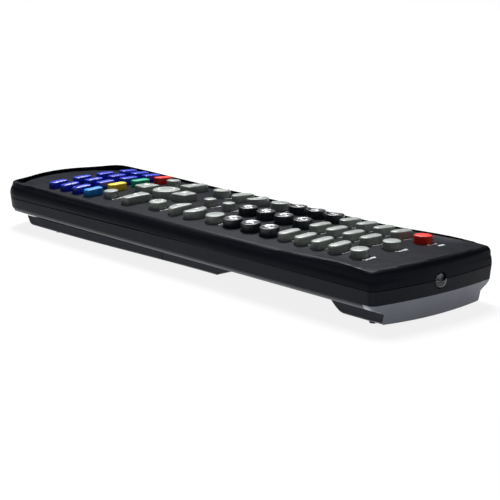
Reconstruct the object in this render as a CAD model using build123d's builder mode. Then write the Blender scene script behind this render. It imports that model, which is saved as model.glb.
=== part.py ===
from build123d import *

import os
from math import atan2, ceil, cos, degrees, radians, sin, sqrt, tan

# Handheld infrared remote control, lying face up on four pips.
# +X is the user's right, +Y points out of the infrared end, +Z is up.
# The origin is the middle of the bounding box, on the surface it lies on.

# Body, seen from above
body_length = 207.6
body_width = 55.6
ir_end_crown = 2.6
tail_crown = 10.2
ir_corner_radius = 2.8
tail_corner_radius = 10.0
led_stand_out = 1.4

# Body, heights above the surface
parting_z = 12.35
widest_z = 12.7
face_z = 18.4
rim_height = 0.5
band_z = 7.7
side_edge_z = 5.9
underside_z = 1.6
underside_rise = 4.3
underside_half = 26.4
belly_z = 0.35

# Gentle bows of the body, as radii
face_crown_radius = 296.0
face_bow_radius = 6120.0
rim_bow_radius = 9700.0
bow_from_ir_end = 32.6
seam_flats = 5

# Drafts, walls and edges
top_draft = 4.0
band_draft = 6.0
front_slope = 16.0
top_wall = 2.0
ceiling_flats = 4
side_wall = 2.6
floor_wall = 1.8
lip_width = 0.8
lip_height = 1.2
lip_gap = 0.1
groove_depth = 0.5
groove_height = 0.3
top_edge = 1.1
tail_bottom_radius = 6.0

# Raised rim round the keypad
rim_width = 2.4
rim_start = 14.6
rim_run_out = 9.0

# Pads under the body
pad_width = 44.0
pad_edge_rise = 1.35
pad_edge_radius = 0.8
pad_root = 1.0
front_pad_back = 29.1
front_pad_back_radius = 23.0
rear_pad_front = 70.6
rear_pad_front_radius = 30.0
rear_pad_back = 194.6
rear_pad_back_radius = 9.5

# Pips that it lies on
pip_diameter = 2.8
pip_spacing = 38.6
pip_root_z = 2.4
front_pip_from_ir_end = 10.1
rear_pip_from_ir_end = 177.2

# Fit of the keys
key_height = 2.9
key_gap = 0.35
key_base_z = 15.0
key_travel = 0.8
key_stop_gap = 0.3
round_flat = 1.45

# Keypad mat, board and cells
mat_thickness = 0.6
board_thickness = 1.0
inner_gap = 0.4
part_gap = 0.2
mat_width = 42.0
mat_front = 17.0
mat_back = 187.0
mat_corner = 2.0
board_front = 9.5
cell_diameter = 10.5
cell_length = 44.5
cell_spacing = 11.3
cell_nub = (3.8, 1.0)
cell_z = 6.95
bay_from_ir_end = 157.5
bay_wall = 1.3
bay_gap = 0.3
contact_size = (8.6, 8.6, 0.4)
spring_length = 4.6
spring_diameters = (7.4, 4.6)

# Battery cover
cover_length = 83.4
cover_wall = 0.85
cover_seam = 0.2
tongue_size = (6.0, 3.0, 0.7)
tongue_spacing = 33.0
tongue_z = 2.05
tongue_gap = 0.15
grip_size = (16.0, 0.8, 0.3)
grip_count = 5
grip_pitch = 2.2
grip_from_front = 14.0

# Infrared lamp and indicator
led_diameter = 5.0
led_length = 8.6
dome_flats = 3
led_hole_diameter = 6.8
led_hole_depth = 7.0
led_z = 12.0
led_flange = (0.4, 1.0)
led_leg = 0.5
led_leg_length = 5.0
led_leg_spacing = 2.54
indicator_x = -14.4
indicator_from_ir_end = 13.5
indicator_size = (2.6, 1.2)
indicator_foot = (3.6, 2.4, 1.6)
indicator_proud = 0.2

# Screw in the battery bay and the board's posts
screw_from_ir_end = 118.1
screw_head = (4.4, 1.8)
screw_shank = 2.2
screw_gap = 0.2
screw_tip_gap = 1.5
boss_diameter = 4.6
lower_boss_diameter = 7.0
boss_meeting_z = 11.0
post_size = (2.0, 6.0)
post_spacing = 36.0
post_from_ir_end = (22.0, 72.0, 128.0, 182.0)

# Parts on the board's underside
chip_size = (7.6, 12.8, 2.0)
chip_from_ir_end = 60.0
resonator_size = (7.0, 3.0, 3.0)
resonator_from_ir_end = 46.0
resonator_x = 8.0
capacitor_size = (5.0, 5.4)
capacitor_from_ir_end = 22.0
capacitor_x = -8.0

# Key shapes: outline sizes in mm, X first
round_small = 4.5
round_source = 6.1
round_digit = 6.7
round_guide = 6.4
round_exit = 5.3
round_ok = 10.2
pill = (8.7, 4.0)
rocker = (9.4, 4.8)
soft_bar = (7.4, 3.6, 1.2)
arrow_up_down = (7.8, 6.1, 6.8)
arrow_sides = (5.8, 3.6, 10.4)
rocker_shoulder = 0.1
rocker_corner = 0.9
arrow_corner = 0.8

# Key columns, from the middle line
top_column = 14.4
pill_column = 13.95
digit_column = 15.0
rocker_column = 14.5
guide_column = 14.9
nav_column = 14.0
exit_column = 14.7
bar_pitch = 11.0

# Key rows, from the infrared end
top_row = 21.5
first_pill_row = 30.9
pill_pitch = 7.9
first_digit_row = 63.2
digit_pitch = 9.23
rocker_rows = (101.3, 111.5)
guide_row = 122.6
ok_row = 136.5
nav_up_row = 125.8
nav_side_row = 137.1
nav_down_row = 148.4
exit_row = 150.6
colour_row = 159.2
first_text_row = 166.5
text_pitch = 7.4
text_rows = 3
text_name = "text_row_"

# How far cutting blocks reach beyond what they cut
overshoot = 8.0

# Places that follow from the sizes above
overall_length = body_length + led_stand_out
ir_end_y = overall_length / 2 - led_stand_out
tail_end_y = ir_end_y - body_length
half_width = body_width / 2
half_pad = pad_width / 2
bow_y = ir_end_y - bow_from_ir_end
mat_top_z = key_base_z - key_travel - key_stop_gap
board_top_z = mat_top_z - mat_thickness
board_z = board_top_z - board_thickness
rear_pad_back_y = ir_end_y - rear_pad_back
rear_pad_end_y = ir_end_y - rear_pad_front + overshoot
cover_front_y = rear_pad_back_y + cover_length
tongue_end_y = cover_front_y + tongue_size[1] + tongue_gap
bay_y = ir_end_y - bay_from_ir_end
bay_length = cell_length + spring_length + 2 * contact_size[2]
bay_width = cell_spacing + cell_diameter + 2 * bay_gap
reach = body_length
high = face_z + overshoot


def from_ir_end(distance):
    return ir_end_y - distance


def sag(x, half, rise):
    """Height of a shallow arc above its middle, x from the middle."""
    radius = (half**2 + rise**2) / (2 * rise)
    return radius - sqrt(radius**2 - x**2)


def face_drop(x, y):
    """How far the face lies below its highest point."""
    return x**2 / (2 * face_crown_radius) + (y - bow_y) ** 2 / (2 * face_bow_radius)


def bowed_block(top_z, bow_radius):
    """Everything below a surface crowned across and bowed along the body."""
    half = body_width
    depth = 2 * high
    back = (bow_y - tail_end_y + half) / bow_radius
    front = (ir_end_y - bow_y + half) / bow_radius
    centre = (0, bow_y, top_z - bow_radius)
    start = Plane(origin=centre, x_dir=(1, 0, 0), z_dir=(0, -cos(back), -sin(back)))

    def crown(x):
        return (x, bow_radius - x**2 / (2 * face_crown_radius))

    with BuildPart() as below:
        with BuildSketch(start):
            with BuildLine():
                ThreePointArc(crown(-half), crown(-half / 2), crown(0))
                ThreePointArc(crown(0), crown(half / 2), crown(half))
                low = bow_radius - depth
                Polyline(crown(half), (half, low), (-half, low), crown(-half))
            make_face()
        revolve(axis=Axis(centre, (-1, 0, 0)), revolution_arc=degrees(back + front))
    return below.part


def plan(inset=0.0, front_y=reach):
    """Outline of the body from above, moved in by inset and cut off at front_y."""
    w = half_width
    crown_y = ir_end_y - ir_end_crown
    tail_y = tail_end_y + tail_crown
    with BuildSketch() as outline:
        with BuildLine():
            ThreePointArc((-w, tail_y), (0, tail_end_y), (w, tail_y))
            Line((w, tail_y), (w, crown_y))
            ThreePointArc((w, crown_y), (0, ir_end_y), (-w, crown_y))
            Line((-w, crown_y), (-w, tail_y))
        make_face()
        fillet(outline.vertices().group_by(Axis.Y)[-1], ir_corner_radius)
        fillet(outline.vertices().group_by(Axis.Y)[0], tail_corner_radius)
        if inset:
            offset(amount=-inset, kind=Kind.INTERSECTION, mode=Mode.REPLACE)
        if front_y < ir_end_y:
            with Locations((0, front_y - reach)):
                Rectangle(reach, 2 * reach, mode=Mode.INTERSECT)
    return outline.sketch


def above_arc(z_middle, half, rise, top=high):
    """Bar along Y that fills everything above a hanging arc."""
    wide = half_width + overshoot
    edge = z_middle + sag(wide, half, rise)
    with BuildPart() as bar:
        with BuildSketch(Plane.XZ):
            with BuildLine():
                ThreePointArc((-wide, edge), (0, z_middle), (wide, edge))
                Polyline((wide, edge), (wide, top), (-wide, top), (-wide, edge))
            make_face()
        extrude(amount=reach, both=True)
    return bar.part


def stations(count):
    """Places along the body, from end to end, at even steps."""
    return [tail_end_y + i * body_length / count for i in range(count + 1)]


def below_parting(raised=0.0):
    """Everything below the seam between the two shells, bowed in a few long flats."""
    ends = (tail_end_y - led_length, *stations(seam_flats), ir_end_y + led_length)
    seam = [(y, parting_z + raised - (y - bow_y) ** 2 / (2 * rim_bow_radius)) for y in ends]
    with BuildPart() as below:
        with BuildSketch(Plane.YZ):
            with BuildLine():
                Polyline(*seam, (ends[-1], -high), (ends[0], -high), seam[0])
            make_face()
        extrude(amount=body_width, both=True)
    return below.part


def tail_block(inset=0.0):
    """Everything ahead of the rounded lower corner of the tail."""
    centre = (tail_end_y + tail_bottom_radius, underside_z + tail_bottom_radius)
    radius = tail_bottom_radius - inset
    low = centre[1] - radius
    back = centre[0] - radius
    front = ir_end_y + overshoot
    with BuildPart() as ahead:
        with BuildSketch(Plane.YZ):
            with BuildLine():
                CenterArc(centre, radius, 180, 90)
                Polyline((centre[0], low), (front, low), (front, high), (back, high), (back, centre[1]))
            make_face()
        extrude(amount=body_width, both=True)
    return ahead.part


def outer_body():
    """The whole outside of both shells as one block, widest just above the seam."""
    band_depth = widest_z - band_z
    slope_depth = band_z - belly_z + cover_seam
    with BuildPart() as body:
        with BuildSketch(Plane.XY.offset(widest_z)):
            add(plan())
        extrude(amount=high - widest_z, taper=top_draft)
        with BuildSketch(Plane.XY.offset(widest_z)):
            add(plan())
        extrude(amount=-band_depth, taper=band_draft)
        with BuildSketch(Plane.XY.offset(band_z)):
            add(plan(band_depth * tan(radians(band_draft))))
        extrude(amount=-slope_depth, taper=front_slope)
    return body.part


def pad(front, back, front_radius, back_radius, inset=0.0):
    """Shallow pad under the body: a hanging belly with ends that rise in arcs."""
    low = belly_z + inset
    depth = side_edge_z + pad_root - belly_z
    top = low + depth
    front_head = front - inset
    back_head = back + inset

    def rise(radius):
        """Run of an end arc, and its middle point from its foot."""
        run = sqrt(2 * radius * depth - depth**2)
        half = atan2(run, radius - depth) / 2
        return run, radius * sin(half), radius * (1 - cos(half))

    front_run, front_out, front_up = rise(front_radius)
    back_run, back_out, back_up = rise(back_radius)
    front_foot = front_head - front_run
    back_foot = back_head + back_run
    with BuildPart() as belly:
        with BuildSketch(Plane.YZ):
            with BuildLine():
                Line((back_foot, low), (front_foot, low))
                front_middle = (front_foot + front_out, low + front_up)
                ThreePointArc((front_foot, low), front_middle, (front_head, top))
                Line((front_head, top), (back_head, top))
                back_middle = (back_foot - back_out, low + back_up)
                ThreePointArc((back_head, top), back_middle, (back_foot, low))
            make_face()
        extrude(amount=half_pad - inset, both=True)
        add(above_arc(low, half_pad, pad_edge_rise), mode=Mode.INTERSECT)
        if not inset:
            rims = belly.edges().filter_by(Axis.Y).group_by(Axis.Z)[0]
            fillet(rims, pad_edge_radius)
    return belly.part


def front_pad(inset=0.0):
    front = ir_end_y + 2 * front_pad_back_radius
    back = from_ir_end(front_pad_back)
    return pad(front, back, front_pad_back_radius, front_pad_back_radius, inset)


def rear_pad(inset=0.0):
    front = from_ir_end(rear_pad_front)
    return pad(front, rear_pad_back_y, rear_pad_front_radius, rear_pad_back_radius, inset)


def slab(front_y, back_y):
    """Wide block between two stations along the body."""
    with BuildPart() as between:
        with BuildSketch(Plane.XY.offset(-high)):
            with Locations((0, (front_y + back_y) / 2)):
                Rectangle(2 * body_width, front_y - back_y)
        extrude(amount=3 * high)
    return between.part


def round_key(diameter, grow=0.0):
    with BuildSketch() as outline:
        Circle(diameter / 2 + grow)
    return outline.sketch


def pill_key(length, width, grow=0.0):
    with BuildSketch() as outline:
        SlotOverall(length + 2 * grow, width + 2 * grow)
    return outline.sketch


def bar_key(length, width, corner, grow=0.0):
    with BuildSketch() as outline:
        RectangleRounded(length + 2 * grow, width + 2 * grow, corner + grow)
    return outline.sketch


def rocker_key(length, width, side, grow=0.0):
    """Half of a split oval: flat on one side and bowed on the other."""
    a = length / 2 + grow
    flat = -side * (width / 2 + grow)
    shoulder = -side * rocker_shoulder * width
    with BuildSketch() as outline:
        with BuildLine():
            ThreePointArc((-a, shoulder), (0, side * (width / 2 + grow)), (a, shoulder))
            Polyline((a, shoulder), (a, flat), (-a, flat), (-a, shoulder))
        make_face()
        fillet(outline.vertices(), rocker_corner + grow)
    return outline.sketch


def arrow_key(inner, outer, run, turn, grow=0.0):
    """Key round the middle one: wide at its inner end, narrow at its outer end."""
    half_in = inner / 2 + grow
    half_out = outer / 2 + grow
    half_run = run / 2 + grow
    with BuildSketch() as outline:
        with BuildLine():
            Polyline((-half_in, -half_run), (half_in, -half_run), (half_out, half_run))
            Polyline((half_out, half_run), (-half_out, half_run), (-half_in, -half_run))
        make_face()
        fillet(outline.vertices(), arrow_corner + grow)
    return outline.sketch.rotate(Axis.Z, turn)


def key_table():
    """Each key as name: (outline, its sizes, place across, distance from the infrared end)."""
    table = {}
    sides = (-1, 0, 1)
    for name, side in zip(("power_key", "source_key", "aspect_key"), sides):
        table[name] = (round_key, (round_source,), side * top_column, top_row)
    for row in range(4):
        for side in sides:
            name = f"function_key_{3 * row + side + 2}"
            place = first_pill_row + row * pill_pitch
            table[name] = (pill_key, pill, side * pill_column, place)
    for row in range(3):
        for side in sides:
            name = f"digit_{3 * row + side + 2}_key"
            place = first_digit_row + row * digit_pitch
            table[name] = (round_key, (round_digit,), side * digit_column, place)
    for name, side in zip(("list_key", "digit_0_key", "recall_key"), sides):
        place = first_digit_row + 3 * digit_pitch
        table[name] = (round_key, (round_digit,), side * digit_column, place)
    for end, row, way in zip(("up", "down"), rocker_rows, (1, -1)):
        table[f"volume_{end}_key"] = (rocker_key, (*rocker, way), -rocker_column, row)
        table[f"channel_{end}_key"] = (rocker_key, (*rocker, way), rocker_column, row)
    for name, row in zip(("mute_key", "display_key"), rocker_rows):
        table[name] = (round_key, (round_small,), 0, row)
    for name, side in (("menu_key", -1), ("guide_key", 1)):
        table[name] = (round_key, (round_guide,), side * guide_column, guide_row)
    table["nav_up_key"] = (arrow_key, (*arrow_up_down, 0), 0, nav_up_row)
    table["nav_down_key"] = (arrow_key, (*arrow_up_down, 180), 0, nav_down_row)
    table["nav_left_key"] = (arrow_key, (*arrow_sides, 90), -nav_column, nav_side_row)
    table["nav_right_key"] = (arrow_key, (*arrow_sides, -90), nav_column, nav_side_row)
    table["ok_key"] = (round_key, (round_ok,), 0, ok_row)
    for name, side in (("exit_key", -1), ("return_key", 1)):
        table[name] = (round_key, (round_exit,), side * exit_column, exit_row)
    for place, name in enumerate(("red_key", "green_key", "yellow_key", "blue_key")):
        table[name] = (bar_key, soft_bar, (place - 1.5) * bar_pitch, colour_row)
    for row in range(text_rows):
        for place in range(4):
            x = (place - 1.5) * bar_pitch
            name = f"{text_name}{row + 1}_{place}"
            table[name] = (bar_key, soft_bar, x, first_text_row + row * text_pitch)
    return table


def with_flats(outline):
    """The same outline with its round stretches as short flats, which keeps 58 keys light."""
    corners = []
    for edge in outline.face().outer_wire().order_edges():
        flats = 1 if edge.geom_type == GeomType.LINE else ceil(edge.length / round_flat)
        corners += [edge @ (i / flats) for i in range(flats)]
    with BuildSketch() as flat_sided:
        with BuildLine():
            Polyline(*corners, close=True)
        make_face()
    return flat_sided.sketch


def key_solid(outline, sizes, x, y):
    """One key: a straight column whose flat top lies parallel to the face."""
    top_z = face_z + key_height - face_drop(x, y)
    slope = (x / face_crown_radius, (y - bow_y) / face_bow_radius, 1)
    with BuildPart() as column:
        with BuildSketch(Plane.XY.offset(key_base_z)):
            with Locations((x, y)):
                add(with_flats(outline(*sizes)))
        extrude(amount=high - key_base_z)
        split(bisect_by=Plane(origin=(x, y, top_z), z_dir=slope), keep=Keep.BOTTOM)
    return column.part


def cylinder(diameter, places, low, top):
    """Upright pins of one size between two heights."""
    with BuildPart() as pins:
        with BuildSketch(Plane.XY.offset(low)):
            with Locations(*places):
                add(with_flats(round_key(diameter)))
        extrude(amount=top - low)
    return pins.part


def block(size_x, size_y, low, top, places=((0, 0),)):
    """Upright blocks of one size between two heights."""
    with BuildPart() as blocks:
        with BuildSketch(Plane.XY.offset(low)):
            with Locations(*places):
                Rectangle(size_x, size_y)
        extrude(amount=top - low)
    return blocks.part


# Shared places
keys = key_table()
body = outer_body()
below_seam = below_parting()
under = above_arc(underside_z, underside_half, underside_rise)
front_pip_y = from_ir_end(front_pip_from_ir_end)
rear_pip_y = from_ir_end(rear_pip_from_ir_end)
front_pips = [(side * pip_spacing / 2, front_pip_y) for side in (-1, 1)]
rear_pips = [(side * pip_spacing / 2, rear_pip_y) for side in (-1, 1)]
screw_y = from_ir_end(screw_from_ir_end)
indicator_place = (indicator_x, from_ir_end(indicator_from_ir_end))
posts = [(side * post_spacing / 2, from_ir_end(d)) for d in post_from_ir_end for side in (-1, 1)]
tongues_x = [side * tongue_spacing / 2 for side in (-1, 1)]
cells_x = [side * cell_spacing / 2 for side in (-1, 1)]
screw_seat_z = underside_z + screw_gap + screw_head[1]
ceiling_z = face_z - top_wall
screw_tip_z = ceiling_z - screw_tip_gap
spring_taper = degrees(atan2((spring_diameters[0] - spring_diameters[1]) / 2, spring_length))

os.makedirs("parts", exist_ok=True)

# Top housing: rim, sunken face, key holes, inner lip and screw boss
rim_start_y = from_ir_end(rim_start)
rim_end_y = rim_start_y + rim_run_out
face_half = half_width - rim_width
with BuildPart() as above_face:
    with BuildSketch(Plane.XY.offset(parting_z)) as face_outline:
        add(plan(rim_width, front_y=rim_start_y))
        with BuildLine():
            Polyline((-face_half, rim_start_y), (face_half, rim_start_y), (half_width, rim_end_y))
            Polyline((half_width, rim_end_y), (half_width, reach), (-half_width, reach))
            Polyline((-half_width, reach), (-half_width, rim_end_y), (-face_half, rim_start_y))
        make_face()
    extrude(amount=high - parting_z)
    add(bowed_block(face_z, face_bow_radius), mode=Mode.SUBTRACT)

ceiling = [(y, ceiling_z - face_drop(0, y)) for y in stations(ceiling_flats)]
with BuildPart() as top_room:
    with BuildSketch(Plane.XY):
        add(plan(side_wall + lip_width))
    extrude(amount=high)
    with BuildSketch(Plane.YZ):
        with BuildLine():
            Polyline(*ceiling, (ir_end_y, 0), (tail_end_y, 0), ceiling[0])
        make_face()
    extrude(amount=body_width, both=True, mode=Mode.INTERSECT)

with BuildPart() as lip:
    with BuildSketch(Plane.XY.offset(parting_z - lip_height)):
        add(plan(side_wall + lip_gap))
        add(plan(side_wall + lip_width), mode=Mode.SUBTRACT)
    extrude(amount=2 * lip_height)

with BuildPart() as seam_groove:
    with BuildSketch(Plane.XY.offset(band_z)):
        Rectangle(2 * body_width, 2 * reach)
        add(plan(groove_depth), mode=Mode.SUBTRACT)
    extrude(amount=high)
    add(below_parting(groove_height), mode=Mode.INTERSECT)

with BuildPart() as lamp_hole:
    with BuildSketch(Plane.XZ.offset(-ir_end_y - led_stand_out)):
        with Locations((0, led_z)):
            Circle(led_hole_diameter / 2)
    extrude(amount=led_hole_depth + led_stand_out)

with BuildPart() as top_housing:
    add(body)
    add(below_seam, mode=Mode.SUBTRACT)
    add(bowed_block(face_z + rim_height, rim_bow_radius), mode=Mode.INTERSECT)
    chamfer(top_housing.faces().sort_by(Axis.Z)[-1].edges(), top_edge)
    add(above_face.part, mode=Mode.SUBTRACT)
    add(top_room.part, mode=Mode.SUBTRACT)
    add(lip.part)
    add(seam_groove.part, mode=Mode.SUBTRACT)
    add(lamp_hole.part, mode=Mode.SUBTRACT)
    add(cylinder(boss_diameter, [(0, screw_y)], boss_meeting_z, ceiling_z))
    add(cylinder(screw_shank + 2 * screw_gap, [(0, screw_y)], 0, screw_tip_z), mode=Mode.SUBTRACT)
    with BuildSketch(Plane.XY.offset(mat_top_z)):
        for outline, sizes, x, row in keys.values():
            with Locations((x, from_ir_end(row))):
                add(with_flats(outline(*sizes, grow=key_gap)))
        with Locations(indicator_place):
            Rectangle(indicator_size[0] + 2 * part_gap, indicator_size[1] + 2 * part_gap)
    extrude(amount=high - mat_top_z, mode=Mode.SUBTRACT)

# Bottom housing: floor, pads, posts, battery bay and screw seat
with BuildPart() as rear_pad_end:
    add(rear_pad())
    add(slab(rear_pad_end_y, cover_front_y), mode=Mode.INTERSECT)

with BuildPart() as rear_pad_room:
    add(rear_pad(floor_wall))
    add(slab(rear_pad_end_y, tongue_end_y + floor_wall), mode=Mode.INTERSECT)

with BuildPart() as lower_body:
    add(under)
    add(tail_block(), mode=Mode.INTERSECT)
    add(front_pad())
    add(rear_pad_end.part)
    add(body, mode=Mode.INTERSECT)
    add(below_seam, mode=Mode.INTERSECT)

with BuildPart() as lower_room:
    add(above_arc(underside_z + floor_wall, underside_half, underside_rise))
    add(tail_block(floor_wall), mode=Mode.INTERSECT)
    add(front_pad(floor_wall))
    add(rear_pad_room.part)
    with BuildSketch(Plane.XY):
        add(plan(side_wall))
    extrude(amount=high, mode=Mode.INTERSECT)

bay_outer = (bay_width + 2 * bay_wall, bay_length + 2 * bay_wall)
with BuildPart() as ribs:
    add(block(*post_size, 0, board_z, posts))
    add(cylinder(lower_boss_diameter, [(0, screw_y)], 0, boss_meeting_z))
    add(block(*bay_outer, 0, board_z - inner_gap, [(0, bay_y)]))
    add(lower_body.part, mode=Mode.INTERSECT)

with BuildPart() as bottom_housing:
    add(lower_body.part)
    add(lower_room.part, mode=Mode.SUBTRACT)
    add(ribs.part)
    add(block(bay_width, bay_length, 0, high, [(0, bay_y)]), mode=Mode.SUBTRACT)
    add(cylinder(screw_shank + 2 * screw_gap, [(0, screw_y)], 0, high), mode=Mode.SUBTRACT)
    add(cylinder(screw_head[0] + 2 * screw_gap, [(0, screw_y)], 0, screw_seat_z), mode=Mode.SUBTRACT)
    add(cylinder(pip_diameter, front_pips, 0, pip_root_z))
    add(lamp_hole.part, mode=Mode.SUBTRACT)
    with BuildSketch(Plane.XZ.offset(-cover_front_y)):
        with Locations(*[(x, tongue_z) for x in tongues_x]):
            Rectangle(tongue_size[0] + 2 * tongue_gap, tongue_size[2] + 2 * tongue_gap)
    extrude(amount=cover_front_y - tongue_end_y, mode=Mode.SUBTRACT)

# Battery cover: thin pad with side walls, two tongues, grip grooves and the rear pips
cover_edge_y = cover_front_y - cover_seam
grips = [(0, cover_front_y - grip_from_front - i * grip_pitch) for i in range(grip_count)]
with BuildPart() as cover_room:
    add(rear_pad(cover_wall))
    add(slab(cover_edge_y - cover_wall, -reach), mode=Mode.INTERSECT)

with BuildPart() as battery_cover:
    add(rear_pad())
    add(slab(cover_edge_y, -reach), mode=Mode.INTERSECT)
    add(above_arc(underside_z - cover_seam, underside_half, underside_rise), mode=Mode.SUBTRACT)
    add(cover_room.part, mode=Mode.SUBTRACT)
    with BuildSketch(Plane.XZ.offset(cover_wall - cover_edge_y)):
        with Locations(*[(x, tongue_z) for x in tongues_x]):
            Rectangle(tongue_size[0], tongue_size[2])
    extrude(amount=-cover_wall - cover_seam - tongue_size[1])
    add(block(*grip_size[:2], 0, belly_z + grip_size[2], grips), mode=Mode.SUBTRACT)
    add(cylinder(pip_diameter, rear_pips, 0, pip_root_z))

# Keypad mat and circuit board, both with a hole for the screw boss
boss_hole = boss_diameter + 2 * inner_gap
mat_front_y = from_ir_end(mat_front)
mat_back_y = from_ir_end(mat_back)
board_front_y = from_ir_end(board_front)
with BuildPart() as keypad_mat:
    with BuildSketch(Plane.XY.offset(board_top_z)):
        with Locations((0, (mat_front_y + mat_back_y) / 2)):
            add(with_flats(bar_key(mat_width, mat_front_y - mat_back_y, mat_corner)))
        with Locations((0, screw_y)):
            add(with_flats(round_key(boss_hole)), mode=Mode.SUBTRACT)
    extrude(amount=mat_thickness)

with BuildPart() as circuit_board:
    with BuildSketch(Plane.XY.offset(board_z)):
        with Locations((0, (board_front_y + mat_back_y) / 2)):
            add(with_flats(bar_key(mat_width, board_front_y - mat_back_y, mat_corner)))
        with Locations((0, screw_y)):
            add(with_flats(round_key(boss_hole)), mode=Mode.SUBTRACT)
    extrude(amount=board_thickness)

# Chip, resonator and capacitor under the board
with BuildPart() as board_components:
    with BuildSketch(Plane.XY.offset(board_z)):
        with Locations((0, from_ir_end(chip_from_ir_end))):
            Rectangle(*chip_size[:2])
    extrude(amount=-chip_size[2])
    with BuildSketch(Plane.XY.offset(board_z)):
        with Locations((resonator_x, from_ir_end(resonator_from_ir_end))):
            Rectangle(*resonator_size[:2])
    extrude(amount=-resonator_size[2])
    with BuildSketch(Plane.XY.offset(board_z)):
        with Locations((capacitor_x, from_ir_end(capacitor_from_ir_end))):
            add(with_flats(round_key(capacitor_size[0])))
    extrude(amount=-capacitor_size[1])

# Infrared lamp: domed lens with a flange, and two legs under the board's edge
led_tip_y = ir_end_y + led_stand_out
led_back_y = led_tip_y - led_length
led_radius = led_diameter / 2
dome_middle_y = led_tip_y - led_radius
dome_angles = [radians(90 * i / dome_flats) for i in range(dome_flats + 1)]
dome = [(led_radius * cos(a), dome_middle_y + led_radius * sin(a)) for a in dome_angles]
with BuildPart() as ir_led:
    with BuildSketch(Plane.XY.offset(led_z)):
        with BuildLine():
            Line((0, led_tip_y), (0, led_back_y))
            Polyline(
                (0, led_back_y),
                (led_radius + led_flange[0], led_back_y),
                (led_radius + led_flange[0], led_back_y + led_flange[1]),
                (led_radius, led_back_y + led_flange[1]),
                (led_radius, dome_middle_y),
            )
            Polyline(*dome)
        make_face()
    revolve(axis=Axis((0, 0, led_z), (0, 1, 0)))
    with BuildSketch(Plane.XZ.offset(-led_back_y)):
        with Locations(*[(side * led_leg_spacing / 2, led_z) for side in (-1, 1)]):
            Rectangle(led_leg, led_leg)
    extrude(amount=led_leg_length)

# Light guide of the indicator, from the board to just above the face
indicator_top_z = face_z - face_drop(*indicator_place) + indicator_proud
with BuildPart() as indicator_led:
    add(block(*indicator_foot[:2], board_top_z, board_top_z + indicator_foot[2], [indicator_place]))
    add(block(*indicator_size, board_top_z, indicator_top_z, [indicator_place]))


def cell(x, way):
    """A cell with its nub pointing along way, shifted from the bay's middle to its plate."""
    middle = bay_y + way * spring_length / 2
    nub_y = middle + way * cell_length / 2
    body_length_y = cell_length - cell_nub[1]
    with BuildPart() as one:
        with BuildSketch(Plane.XZ.offset(-nub_y)):
            with Locations((x, cell_z)):
                add(with_flats(round_key(cell_nub[0])))
        extrude(amount=way * cell_nub[1])
        with BuildSketch(Plane.XZ.offset(-(nub_y - way * cell_nub[1]))):
            with Locations((x, cell_z)):
                add(with_flats(round_key(cell_diameter)))
        extrude(amount=way * body_length_y)
    return one.part


# Two AAA cells, laid head to tail
with BuildPart() as batteries:
    for x, way in zip(cells_x, (1, -1)):
        add(cell(x, way))

# Contact plates at both ends of the bay, and a spring at each cell's flat end
with BuildPart() as battery_contacts:
    for x, way in zip(cells_x, (1, -1)):
        for side in (-1, 1):
            plate_y = bay_y + side * bay_length / 2
            with BuildSketch(Plane.XZ.offset(-plate_y)):
                with Locations((x, cell_z)):
                    Rectangle(*contact_size[:2])
            extrude(amount=side * contact_size[2])
        spring_y = bay_y - way * (bay_length / 2 - contact_size[2])
        with BuildSketch(Plane.XZ.offset(-spring_y)):
            with Locations((x, cell_z)):
                add(with_flats(round_key(spring_diameters[0])))
        extrude(amount=-way * spring_length, taper=spring_taper)

# Screw up through both bosses
with BuildPart() as housing_screw:
    add(cylinder(screw_head[0], [(0, screw_y)], screw_seat_z - screw_head[1], screw_seat_z))
    add(cylinder(screw_shank, [(0, screw_y)], screw_seat_z, screw_tip_z - screw_gap))

# Keys, with each row of four text keys kept together
key_parts = {name: key_solid(o, sizes, x, from_ir_end(row)) for name, (o, sizes, x, row) in keys.items()}
pieces = {
    "top_housing": top_housing.part,
    "bottom_housing": bottom_housing.part,
    "battery_cover": battery_cover.part,
    "keypad_mat": keypad_mat.part,
    "circuit_board": circuit_board.part,
    "board_components": board_components.part,
    "ir_led": ir_led.part,
    "indicator_led": indicator_led.part,
    "batteries": batteries.part,
    "battery_contacts": battery_contacts.part,
    "housing_screw": housing_screw.part,
}
for row in range(text_rows):
    name = f"{text_name}{row + 1}"
    pieces[f"{name}_keys"] = Compound([key_parts.pop(f"{name}_{place}") for place in range(4)])
pieces.update(key_parts)
for name, piece in pieces.items():
    piece.label = name
    export_step(piece, f"parts/{name}.step")
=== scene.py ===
import math

import bmesh
import bpy
from mathutils import Matrix, Vector
from mathutils.bvhtree import BVHTree


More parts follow.
